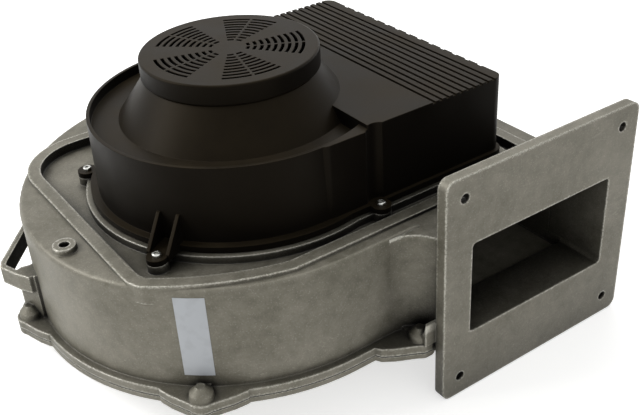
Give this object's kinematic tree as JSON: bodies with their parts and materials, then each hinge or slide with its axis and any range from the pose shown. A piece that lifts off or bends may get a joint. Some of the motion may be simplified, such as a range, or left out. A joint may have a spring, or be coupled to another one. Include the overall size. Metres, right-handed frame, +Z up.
{
  "type": "radial blower",
  "caption": "Cast scroll blower with a square outlet flange, a bladed wheel on an external-rotor motor and a black vented motor cover.",
  "frame": {"origin": "centre of the inlet bore, on the motor axis, in the plane of the base cover's underside", "axes": "+Z up along the shaft towards the motor cover, +X the way the air leaves through the outlet flange, +Y towards the outlet side of the scroll"},
  "size_m": [0.4609, 0.4993, 0.2822],
  "materials": {
    "scroll_housing": "as-cast, satin",
    "base_gasket": "matt fibre gasket",
    "base_cover": "as-cast, satin",
    "base_screws": "zinc plated",
    "inlet_nozzle": "spun, satin",
    "nozzle_screws": "zinc plated",
    "blank_label": "white film, blank",
    "motor_cover": "moulded, fine grain",
    "vent_cap": "moulded, fine grain",
    "cover_seal": "matt",
    "cover_screws": "zinc plated",
    "motor_flange": "die cast",
    "motor_gasket": "matt fibre gasket",
    "motor_screws": "zinc plated",
    "stator_core": "stacked laminations",
    "insulation_caps": "moulded",
    "stator_windings": "enamelled copper",
    "shaft_seal": "matt",
    "lower_outer_race": "ground steel",
    "lower_inner_race": "ground steel",
    "lower_cage": "moulded",
    "lower_balls": "polished steel",
    "upper_outer_race": "ground steel",
    "upper_inner_race": "ground steel",
    "upper_cage": "moulded",
    "upper_balls": "polished steel",
    "preload_washer": "spring steel",
    "shaft": "ground steel",
    "rotor_bell": "deep drawn steel",
    "rotor_magnets": "sintered ferrite",
    "shaft_circlip": "spring steel",
    "cooling_wheel": "moulded",
    "impeller_hub": "turned",
    "impeller_plate": "sheet",
    "impeller_blades": "sheet",
    "impeller_shroud": "spun sheet",
    "hub_rivets": "headed",
    "impeller_washer": "zinc plated",
    "impeller_nut": "zinc plated",
    "heat_sink": "die cast",
    "circuit_board": "solder mask",
    "board_screws": "zinc plated",
    "power_module": "moulded",
    "capacitors": "sleeved can",
    "line_choke": "varnished winding",
    "terminal_block": "moulded",
    "gland_bodies": "moulded",
    "gland_seals": "matt",
    "gland_nuts": "moulded",
    "gland_locknuts": "moulded"
  },
  "bodies": {
    "housing": {"scroll_housing": "scroll_housing", "base_gasket": "base_gasket", "base_cover": "base_cover", "base_screws": "base_screws", "inlet_nozzle": "inlet_nozzle", "nozzle_screws": "nozzle_screws", "blank_label": "blank_label", "motor_cover": "motor_cover", "vent_cap": "vent_cap", "cover_seal": "cover_seal", "cover_screws": "cover_screws", "motor_flange": "motor_flange", "motor_gasket": "motor_gasket", "motor_screws": "motor_screws", "stator_core": "stator_core", "insulation_caps": "insulation_caps", "stator_windings": "stator_windings", "shaft_seal": "shaft_seal", "lower_outer_race": "lower_outer_race", "upper_outer_race": "upper_outer_race", "preload_washer": "preload_washer", "heat_sink": "heat_sink", "circuit_board": "circuit_board", "board_screws": "board_screws", "power_module": "power_module", "capacitors": "capacitors", "line_choke": "line_choke", "terminal_block": "terminal_block", "gland_bodies": "gland_bodies", "gland_seals": "gland_seals", "gland_nuts": "gland_nuts", "gland_locknuts": "gland_locknuts"},
    "rotor": {"lower_inner_race": "lower_inner_race", "upper_inner_race": "upper_inner_race", "shaft": "shaft", "rotor_bell": "rotor_bell", "rotor_magnets": "rotor_magnets", "shaft_circlip": "shaft_circlip", "cooling_wheel": "cooling_wheel", "impeller_hub": "impeller_hub", "impeller_plate": "impeller_plate", "impeller_blades": "impeller_blades", "impeller_shroud": "impeller_shroud", "hub_rivets": "hub_rivets", "impeller_washer": "impeller_washer", "impeller_nut": "impeller_nut"},
    "lower_ball_set": {"lower_cage": "lower_cage", "lower_balls": "lower_balls"},
    "upper_ball_set": {"upper_cage": "upper_cage", "upper_balls": "upper_balls"}
  },
  "joints": [
    {"name": "impeller_spin", "type": "hinge", "parent": "housing", "child": "rotor", "pos_m": [0, 0, 0.12], "axis": [0, 0, 1], "continuous": true},
    {"name": "lower_ball_set_spin", "type": "hinge", "parent": "housing", "child": "lower_ball_set", "pos_m": [0, 0, 0.1215], "axis": [0, 0, 1], "continuous": true},
    {"name": "upper_ball_set_spin", "type": "hinge", "parent": "housing", "child": "upper_ball_set", "pos_m": [0, 0, 0.1835], "axis": [0, 0, 1], "continuous": true}
  ],
  "couplings": [
    {"joint": "lower_ball_set_spin", "follows": "impeller_spin", "ratio": 0.38},
    {"joint": "upper_ball_set_spin", "follows": "impeller_spin", "ratio": 0.38}
  ]
}
